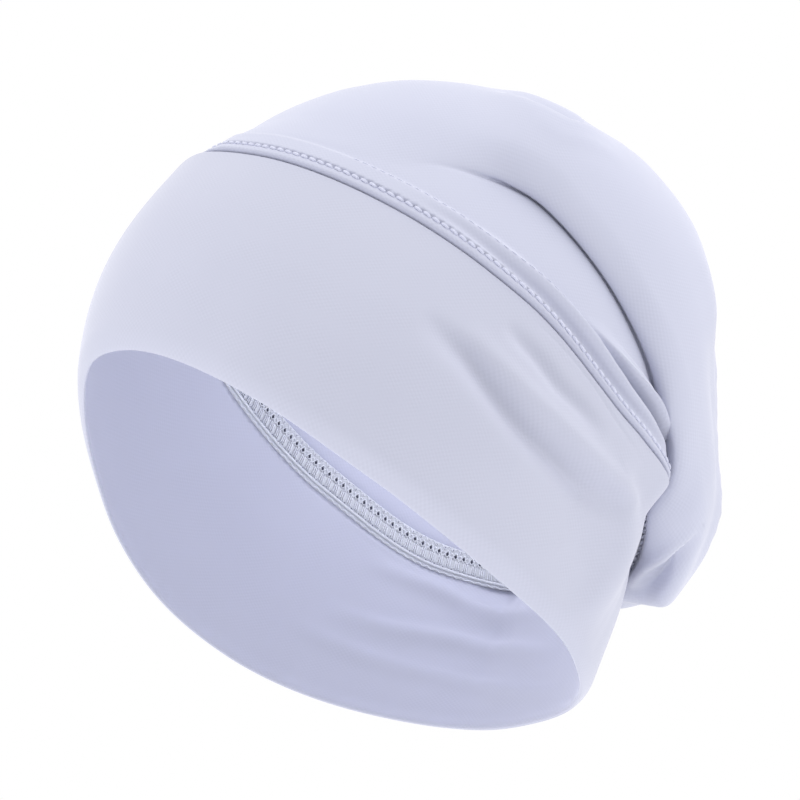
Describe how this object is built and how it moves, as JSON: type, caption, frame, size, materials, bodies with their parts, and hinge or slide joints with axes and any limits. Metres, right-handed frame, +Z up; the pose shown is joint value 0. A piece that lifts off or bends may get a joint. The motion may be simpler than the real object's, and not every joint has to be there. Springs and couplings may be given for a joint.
{
  "type": "jersey underscarf cap",
  "caption": "Close-fitting jersey underscarf cap: a wide folded band round the head and a slouchy crown bag that drapes at the nape.",
  "frame": {"origin": "middle of the head opening, level with the middle of the band's folded lower edge", "axes": "+Z up towards the top of the head, -Y towards the forehead, +X towards the wearer's left"},
  "size_m": [0.167, 0.2168, 0.1864],
  "materials": {
    "band_jersey": "silky matt jersey, pale lavender grey, folded double",
    "crown_jersey": "silky matt jersey, pale lavender grey, one layer",
    "seam_allowance": "turned jersey edge covered with flat looper stitches"
  },
  "bodies": {
    "root": {"band": "band_jersey", "crown": "crown_jersey", "inner_seam_strip": "seam_allowance"}
  },
  "joints": []
}
